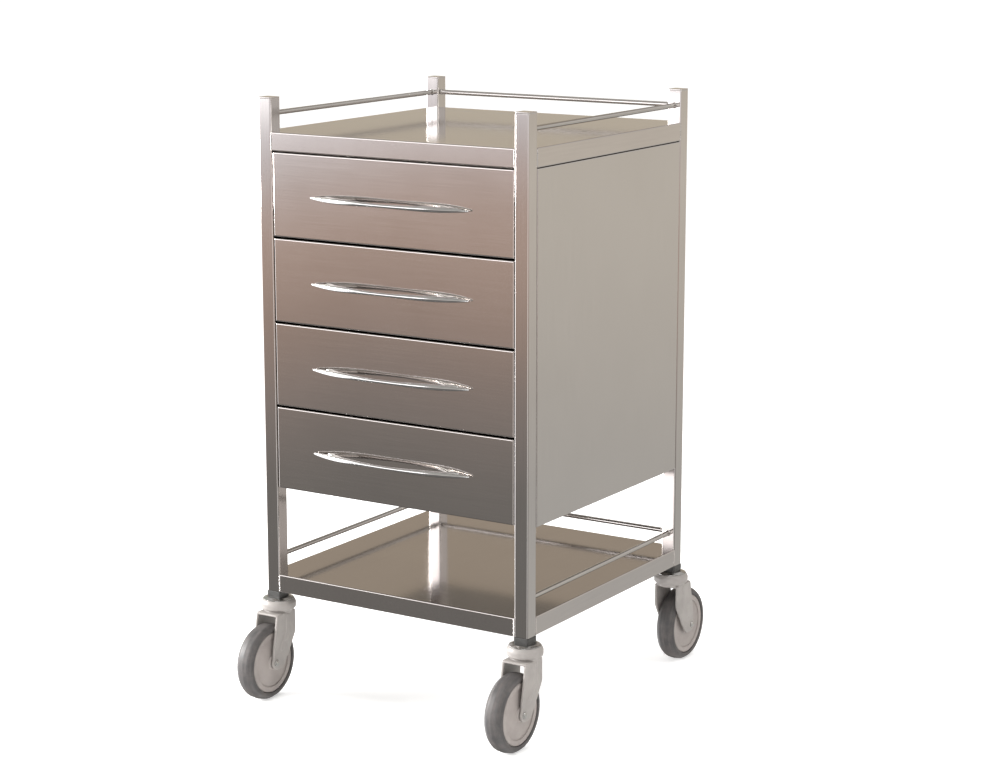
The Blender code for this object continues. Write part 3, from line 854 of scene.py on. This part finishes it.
def make_frame():
    for corner in CORNERS:
        make_post(corner)
    for name in ("top_tray", "lower_shelf"):
        make_tray(name)
    for level in ("top", "lower"):
        for side in ("left", "right", "back"):
            make_rail(f"{level}_rail_{side}")
    make_panel("side_panel_right", ALONG, ACROSS)
    make_panel("side_panel_left", ALONG, -ACROSS)
    make_panel("rear_panel", ACROSS, ALONG)
    make_floor()
    make_tray_welds()


# ---------------------------------------------------------------- drawers

def make_runner(number, label):
    """The fixed channel on the cabinet's side: its lips roll inwards round the ball cage."""
    name = f"runner_{number}_{label}"
    side = SIDES[label]
    low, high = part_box(name)
    depth = high.x - low.x
    half = (high.z - low.z) / 2
    inner = half - SHEET
    tip = inner - RUNNER_LIP
    outline = filleted([(0.0, half), (0.0, -half), (depth, -half), (depth, -tip, CUT_EDGE),
                        (depth - SHEET, -tip, CUT_EDGE), (depth - SHEET, -inner, CUT_EDGE),
                        (SHEET, -inner, CUT_EDGE), (SHEET, inner, CUT_EDGE), (depth - SHEET, inner, CUT_EDGE),
                        (depth - SHEET, tip, CUT_EDGE), (depth, tip, CUT_EDGE), (depth, half)],
                       BEND, steps=3, closed=True)
    web = high.x if side > 0 else low.x
    place = facing(Vector((web, 0.0, (low.z + high.z) / 2)), -side * ACROSS, UP, ALONG)
    fitted(name, extruded(outline, low.y, high.y, place), "frame", "runner_zinc", name)


def make_bearings():
    """Ball cages, the balls in them and the screws that hold the runners."""
    spots = []
    edges = []
    holes = []
    directions = []
    cages = []
    path = filleted([(0.001, CAGE_HALF_THICK), (0.0, CAGE_HALF_THICK), (0.0, -CAGE_HALF_THICK),
                     (0.001, -CAGE_HALF_THICK)], CAGE_HALF_THICK / 2, steps=2)
    for number in DRAWERS:
        for label, side in SIDES.items():
            low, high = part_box(f"runner_{number}_{label}")
            middle = (low + high) / 2
            length = high.y - low.y
            web = (high.x if side > 0 else low.x) - side * SHEET
            holes += [(web, low.y + length * share, middle.z) for share in RUNNER_SCREWS]
            directions += [(-side, 0.0, 0.0)] * len(RUNNER_SCREWS)
            for height in (middle.z - BALL_HEIGHT, middle.z + BALL_HEIGHT):
                spots += [(middle.x, low.y + BALL_PITCH, height), (middle.x, high.y - BALL_PITCH, height)]
                edges.append((len(spots) - 2, len(spots) - 1))
                plan = box_plan(CAGE_HALF_WIDTH, (length - BALL_PITCH) / 2, CAGE_CORNER)
                cages.append(folded(plan, path, Matrix.Translation((middle.x, middle.y, height))))
    balls = ball_tree(FINISHES["axle_bolt"])
    screws = screw_tree(FINISHES["axle_bolt"])
    fitted("runner_balls", balls.grow(spots_mesh(spots, edges)), "frame", "axle_bolt")
    fitted("runner_cages", joined(*cages), "frame", "runner_zinc")
    fitted("runner_screws", screws.grow(spots_mesh(holes, directions=directions)), "frame", "axle_bolt")
    return screws


def make_front(number):
    """The drawer's front: a pan folded from one sheet, with returns all round its open back."""
    name = f"drawer_{number}_front"
    low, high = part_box(name)
    middle = (low + high) / 2
    path = pan_path(high.y - low.y, PAN_RETURN, FRONT_BEND)
    place = facing(Vector((middle.x, low.y, middle.z)), ACROSS, UP, -ALONG)
    plan = box_plan((high.x - low.x) / 2, (high.z - low.z) / 2, FRONT_CORNER)
    fitted(name, folded(plan, path, place), f"drawer_{number}", "drawer_front_steel", name)


def make_box(number):
    """The drawer's box: folded sheet with a hem round its rim."""
    name = f"drawer_{number}_box"
    low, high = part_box(name)
    hem = high.z - HEM_DEPTH
    plan = box_plan(DRAWER_HALF, (high.y - low.y) / 2, BOX_CORNER)
    path = filleted([(FACE_INSET, low.z), (0.0, low.z), (0.0, high.z, HEM_BEND),
                     (HEM_THICK, high.z, HEM_BEND), (HEM_THICK, hem, CUT_EDGE), (SHEET, hem, CUT_EDGE),
                     (SHEET, low.z + SHEET, CUT_EDGE), (FACE_INSET, low.z + SHEET)], BEND)
    mesh = folded(plan, path, Matrix.Translation((0.0, (low.y + high.y) / 2, 0.0)))
    fitted(name, mesh, f"drawer_{number}", "drawer_box_steel", name)


def make_strips(number):
    """The sliding members, a channel along each side of the box."""
    low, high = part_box(f"drawer_{number}_box")
    runner_low, runner_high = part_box(f"runner_{number}_left")
    rise = (runner_low.z + runner_high.z) / 2
    reach = high.x - DRAWER_HALF - GAP
    outline = filleted([(0.0, STRIP_HALF), (0.0, -STRIP_HALF), (reach, -STRIP_HALF, CUT_EDGE),
                        (reach, SHEET - STRIP_HALF, CUT_EDGE), (SHEET, SHEET - STRIP_HALF, CUT_EDGE),
                        (SHEET, STRIP_HALF - SHEET, CUT_EDGE), (reach, STRIP_HALF - SHEET, CUT_EDGE),
                        (reach, STRIP_HALF, CUT_EDGE)], BEND, steps=3, closed=True)
    for label, side in SIDES.items():
        place = facing(Vector((side * (DRAWER_HALF + GAP), 0.0, rise)), side * ACROSS, UP, ALONG)
        mesh = extruded(outline, low.y + 2 * SHEET, high.y - 2 * SHEET, place)
        fitted(f"drawer_{number}_slide_{label}", mesh, f"drawer_{number}", "runner_zinc")


def bow_reach(x):
    """How far the handle's bar stands off the drawer's front at x."""
    return HANDLE_TIP_REACH + (HANDLE_REACH - HANDLE_TIP_REACH) * (1.0 - (x / HANDLE_HALF) ** 2)


def bow_radius(x):
    """The bar is slim in the middle, thickest at its wings and runs out to fine tips."""
    along = abs(x) / HANDLE_HALF
    if along < HANDLE_WING_AT:
        swell = math.sin(math.pi / 2 * along / HANDLE_WING_AT) ** 2
        return HANDLE_RADIUS * (HANDLE_MIDDLE + (HANDLE_WING - HANDLE_MIDDLE) * swell)
    fade = ((along - HANDLE_WING_AT) / (1.0 - HANDLE_WING_AT)) ** 2
    return HANDLE_RADIUS * (HANDLE_WING + (HANDLE_TIP - HANDLE_WING) * fade)


def bow_handle(face, height):
    """A cast bow with two slanted feet that flare out where they meet the front."""
    spots = [HANDLE_HALF * (2 * i / HANDLE_STEPS - 1) for i in range(HANDLE_STEPS + 1)]
    line = [Vector((x, face - bow_reach(x), height)) for x in spots]
    shapes = [rod(line, [bow_radius(x) for x in spots], HANDLE_SIDES)]
    shares = [i / FOOT_STEPS for i in range(FOOT_STEPS + 1)]
    radii = [HANDLE_RADIUS * (FOOT_SLIM + FOOT_FLARE * share ** 3) for share in shares]
    for side in SIDES.values():
        start = Vector((side * FOOT_ON_BAR, face - bow_reach(FOOT_ON_BAR), height))
        end = Vector((side * (FOOT_ON_FACE + FOOT_SUNK.x), face + FOOT_SUNK.y, height))
        shapes.append(rod([start.lerp(end, share) for share in shares], radii, HANDLE_SIDES))
    mesh = moulded(joined(*shapes), voxel=0.0006, passes=8, keep=0.5)
    return trimmed(mesh, Vector((0.0, face - 0.0001, 0.0)), ALONG)


def trimmed(mesh, spot, out):
    """The mesh cut flat by a plane, with what lies beyond it removed and the cut closed."""
    builder = bmesh.new()
    builder.from_mesh(mesh)
    everything = [*builder.verts, *builder.edges, *builder.faces]
    bmesh.ops.bisect_plane(builder, geom=everything, dist=0.00001, plane_co=spot, plane_no=out,
                           clear_outer=True)
    rim = [edge for edge in builder.edges if edge.is_boundary]
    bmesh.ops.holes_fill(builder, edges=rim, sides=0)
    builder.to_mesh(mesh)
    builder.free()
    mesh.shade_smooth()
    mesh.set_sharp_from_angle(angle=math.radians(60))
    return mesh


def make_drawer_screws(number, screws):
    """Inside the box's front wall: two screws for the handle and four for the front."""
    low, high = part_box(f"drawer_{number}_front")
    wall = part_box(f"drawer_{number}_box")[0].y + SHEET
    height = (low.z + high.z) / 2
    spots = [(side * FOOT_ON_FACE, wall, height) for side in SIDES.values()]
    spots += [(side * FRONT_SCREW_X, wall, height + lift) for side in SIDES.values()
              for lift in FRONT_SCREW_LIFTS]
    mesh = screws.grow(spots_mesh(spots, directions=[ALONG] * len(spots)))
    fitted(f"drawer_{number}_screws", mesh, f"drawer_{number}", "axle_bolt")


def make_drawers():
    for number in DRAWERS:
        for label in SIDES:
            make_runner(number, label)
    screws = make_bearings()
    first = handle_height(1)
    handle = bow_handle(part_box("drawer_1_front")[0].y, first)
    for number in DRAWERS:
        make_front(number)
        make_box(number)
        make_strips(number)
        make_drawer_screws(number, screws)
        name = f"drawer_{number}_handle"
        fitted(name, copied(handle, Matrix.Translation((0.0, 0.0, handle_height(number) - first))),
               f"drawer_{number}", "handle_chrome", name)


def handle_height(number):
    low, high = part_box(f"drawer_{number}_handle")
    return (low.z + high.z) / 2


# ---------------------------------------------------------------- castors

EDGE_ON = facing(Vector((0.0, -TRAIL, WHEEL_RADIUS)), ALONG, UP, ACROSS)

# Outlines of the fork seen from the side: distance behind the swivel axis, height and corner radius.
LEG = ((-CROWN_FRONT, CROWN_TOP, 0.002), (-CROWN_FRONT, 0.104, 0.016), (0.004, 0.070, 0.030),
       (0.018, WHEEL_RADIUS - LEG_FOOT + 0.001, 0.012), (TRAIL - 0.004, WHEEL_RADIUS - LEG_FOOT, 0.012),
       (TRAIL + 0.0085, WHEEL_RADIUS - LEG_FOOT, 0.0095), (TRAIL + 0.0055, 0.084, 0.030),
       (-CROWN_REAR - 0.0015, CROWN_TOP, 0.004))
RIDGE = ((0.000, 0.138), (0.000, 0.106, 0.020), (0.020, 0.079, 0.004), (0.028, 0.083, 0.004),
         (0.009, 0.108, 0.030), (0.009, 0.138))

# Half sections of the turned pieces: radius, height and corner radius. The hub's and the tyre's heights are
# measured from the wheel's middle plane.
HEAD = ((PIN_BORE, HEAD_FLOOR), (PIN_BORE, SWIVEL_TOP, CUT_EDGE), (0.0205, SWIVEL_TOP, 0.002),
        (0.0264, 0.1604, 0.003), (0.0290, 0.1550, 0.003), (0.0286, 0.1462, 0.002), (0.0238, 0.1436, 0.001),
        (HEAD_NECK, CROWN_BOTTOM + 0.0015), (0.0, CROWN_BOTTOM + 0.0015), (0.0, HEAD_FLOOR))
RING = ((0.0080, SWIVEL_TOP + GAP), (0.0080, RING_TOP, 0.0003), (0.0190, RING_TOP, 0.0020),
        (0.0252, 0.1620, 0.0010), (0.0252, 0.1614, 0.0001), (0.0206, SWIVEL_TOP + GAP, 0.0010))
HUB_BORE = AXLE_RADIUS + 2 * GAP
HUB = ((HUB_BORE, 0.0), (HUB_BORE, HUB_HALF, CUT_EDGE), (0.0102, HUB_HALF, 0.0010), (0.0118, 0.0138, 0.0010),
       (0.0300, 0.0130, 0.020), (0.0408, 0.0122, 0.0003), (0.0413, 0.0142, 0.0006), (0.0485, 0.0145, 0.0008),
       (HUB_RADIUS, 0.0132, CUT_EDGE), (HUB_RADIUS, 0.0))
BEAD = HUB_RADIUS + 2 * GAP
TYRE = ((BEAD, WHEEL_HALF - 0.0024), (BEAD, WHEEL_HALF - 0.0012, 0.0004),
        (BEAD + 0.0011, WHEEL_HALF - 0.0004, 0.0006), (WHEEL_RADIUS - 0.0062, WHEEL_HALF, 0.0040),
        (WHEEL_RADIUS - 0.0010, 0.0090, 0.0070), (WHEEL_RADIUS - 0.0002, 0.0014, 0.004),
        (WHEEL_RADIUS - 0.0002, 0.0005, 0.0), (WHEEL_RADIUS, 0.0002, 0.0))


def fork_moulding():
    """Domed swivel head, crown plate and two ribbed legs in one moulding, bored for pin and axle."""
    plan = box_plan(LEG_OUTER, (CROWN_FRONT - CROWN_REAR) / 2, PLATE_CORNER)
    path = filleted([(0.004, CROWN_TOP), (0.0, CROWN_TOP, 0.0012), (0.0, CROWN_BOTTOM, 0.0010),
                     (0.004, CROWN_BOTTOM)], 0.001)
    crown = folded(plan, path, Matrix.Translation((0.0, (CROWN_FRONT + CROWN_REAR) / 2, 0.0)))
    shapes = [turned(filleted(HEAD, CUT_EDGE), 72), crown]
    boss = [(0.0, LEG_INNER), (BOSS_RADIUS, LEG_INNER), (BOSS_RADIUS, LEG_OUTER + 0.0001),
            (0.0, LEG_OUTER + 0.0001)]
    leg = filleted(LEG, 0.002, closed=True)
    ridge = filleted(RIDGE, 0.002, closed=True)
    for side in SIDES.values():
        place = facing(Vector(), -ALONG, UP, side * ACROSS)
        shapes.append(softened(extruded(leg, LEG_INNER, LEG_OUTER, place), 0.0012))
        shapes.append(extruded(ridge, LEG_OUTER - 0.001, LEG_OUTER + RIDGE_HEIGHT, place))
        shapes.append(turned(boss, 40, facing(EDGE_ON.translation, ALONG, UP, side * ACROSS)))
    bore = AXLE_RADIUS + GAP
    through = turned([(0.0, -0.03), (bore, -0.03), (bore, 0.03), (0.0, 0.03)], 32, EDGE_ON)
    return bored(moulded(joined(*shapes), voxel=0.0008, passes=4, keep=0.5), through)


def bored(mesh, cutter_mesh):
    """The mesh with another cut out of it."""
    tool = placed("tool", cutter_mesh)
    made = worked(mesh, ("BOOLEAN", {"operation": "DIFFERENCE", "solver": "EXACT", "object": tool}))
    bpy.data.objects.remove(tool, do_unlink=True)
    return made


def mirrored_profile(side):
    """A section given on one side of the wheel's middle plane, with its other half."""
    return side + [(radius, -height) for radius, height in reversed(side)]


def hub_body():
    """A disc sunk inside its rim, with a boss round the axle."""
    side = filleted(HUB, CUT_EDGE, steps=3)
    return turned(mirrored_profile(side[1:-1]), WHEEL_SIDES, EDGE_ON, loop=True)


def tyre_body():
    """A round-shouldered tyre with a mould line round its tread and a bead over the hub's rim."""
    return turned(mirrored_profile(filleted(TYRE, 0.001, steps=5)), WHEEL_SIDES, EDGE_ON, loop=True)


def axle_body():
    """The axle bolt: a plain shank with a domed cap and a flange at each end."""
    cap = LEG_OUTER + GAP
    rim = cap + 0.0008
    side = [(0.0, cap + 0.0025)]
    for step in range(1, 7):
        angle = math.radians(15 * step)
        side.append((AXLE_DOME_RADIUS * math.sin(angle), rim + 0.0017 * math.cos(angle)))
    side += filleted([(AXLE_DOME_RADIUS, rim), (AXLE_CAP_RADIUS, cap + 0.0007, 0.0003),
                      (AXLE_CAP_RADIUS, cap), (AXLE_RADIUS, cap)], 0.0002, steps=2)
    return turned(mirrored_profile(side), 40, EDGE_ON)


def stem_plug():
    """Black plug: a square shank inside the post and a collar under it."""
    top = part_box("stem_front_right")[1].z
    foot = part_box("post_front_right")[0].z - GAP
    step = COLLAR_HALF - STEM_HALF
    end = COLLAR_HALF - 0.004
    bottom = foot - COLLAR_HEIGHT
    path = filleted([(end, top), (step + 0.0010, top, 0.0006), (step, top - 0.006, 0.001),
                     (step, foot, CUT_EDGE), (0.0, foot, 0.0006), (0.0, bottom + 0.0032, 0.0003),
                     (COLLAR_LIP, bottom + 0.0026, 0.0003), (COLLAR_LIP, bottom, 0.0008), (end, bottom)],
                    CUT_EDGE)
    return folded(box_plan(COLLAR_HALF, COLLAR_HALF, POST_CORNER), path)


def king_pin():
    """The pin that the swivel head turns on, with a lead-in at its foot."""
    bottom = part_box("stem_front_right")[0].z
    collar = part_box("post_front_right")[0].z - COLLAR_HEIGHT - 2 * GAP
    side = filleted([(0.0, bottom), (PIN_RADIUS - 0.0004, bottom, 0.0006),
                     (PIN_RADIUS, bottom + 0.002, 0.0006), (PIN_RADIUS, collar, CUT_EDGE), (0.0, collar)],
                    CUT_EDGE)
    return turned(side, 36)


def dust_ring():
    """A dull pressed cone that covers the bearing on top of the swivel head."""
    return turned(filleted(RING, 0.0003, closed=True), 64, loop=True)


def make_castors():
    """Front castors trail forwards and rear ones backwards."""
    shapes = {"hub": (hub_body(), "wheel", "hub_plastic"), "tyre": (tyre_body(), "wheel", "tyre_rubber"),
              "axle": (axle_body(), "castor", "axle_bolt"),
              "fork": (fork_moulding(), "castor", "fork_plastic"),
              "stem": (stem_plug(), None, "collar_plastic")}
    pin = king_pin()
    ring = dust_ring()
    for corner in CORNERS:
        low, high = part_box(f"post_{corner}")
        middle = (low + high) / 2
        turn = 0.0 if middle.y < 0 else math.pi
        place = Matrix.Translation((middle.x, middle.y, 0.0)) @ Matrix.Rotation(turn, 4, "Z")
        for label, (mesh, carrier, slot) in shapes.items():
            body = f"{carrier}_{corner}" if carrier else "frame"
            fitted(f"{label}_{corner}", copied(mesh, place), body, slot, f"{label}_{corner}")
        fitted(f"king_pin_{corner}", copied(pin, place), "frame", "axle_bolt")
        fitted(f"dust_ring_{corner}", copied(ring, place), f"castor_{corner}", "axle_bolt")


make_frame()
make_drawers()
make_castors()
